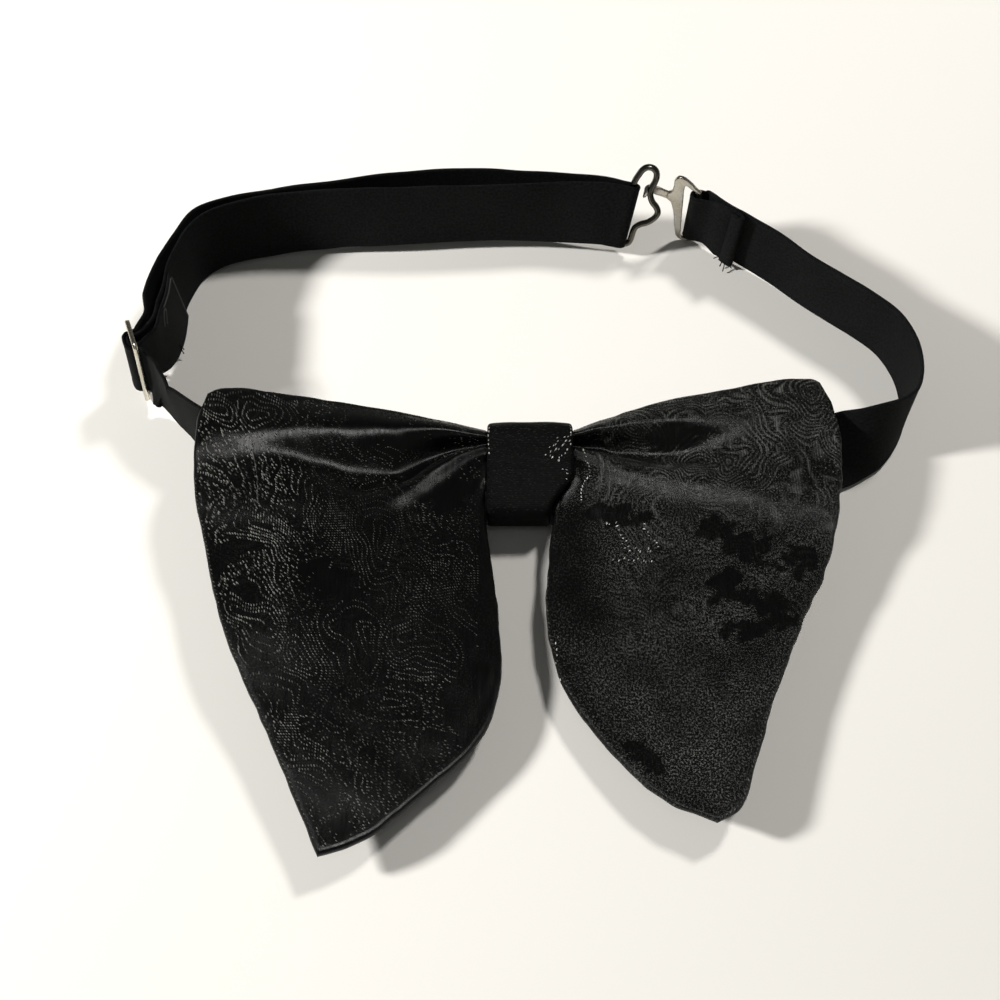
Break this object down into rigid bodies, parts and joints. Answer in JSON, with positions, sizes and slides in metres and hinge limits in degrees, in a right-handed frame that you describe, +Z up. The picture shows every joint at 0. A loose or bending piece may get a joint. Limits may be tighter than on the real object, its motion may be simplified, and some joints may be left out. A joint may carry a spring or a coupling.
{
  "type": "bow tie",
  "caption": "Oversized butterfly bow tie: a gathered brocade bow held by a knot band on an adjustable neck strap with a slider and a hook and eye.",
  "frame": {"origin": "centre of the bounding box's bottom face, on the surface that the bow and the strap's edge rest on", "axes": "+X to the wearer's left along the bow, +Y from the bow's tips towards the neck strap's ring, +Z up out of the bow's face"},
  "size_m": [0.2068, 0.1848, 0.026],
  "materials": {
    "brocade": "satin black jacquard",
    "band_cloth": "plain black, dull satin",
    "strap_webbing": "matt woven black",
    "slider_metal": "bright nickel",
    "wire_metal": "bright nickel wire",
    "plate_metal": "warm satin nickel"
  },
  "bodies": {
    "root": {"bow_wings": "brocade", "knot_band": "band_cloth", "neck_strap": "strap_webbing", "slider": "slider_metal", "eye": "wire_metal", "hook": "plate_metal"}
  },
  "joints": []
}
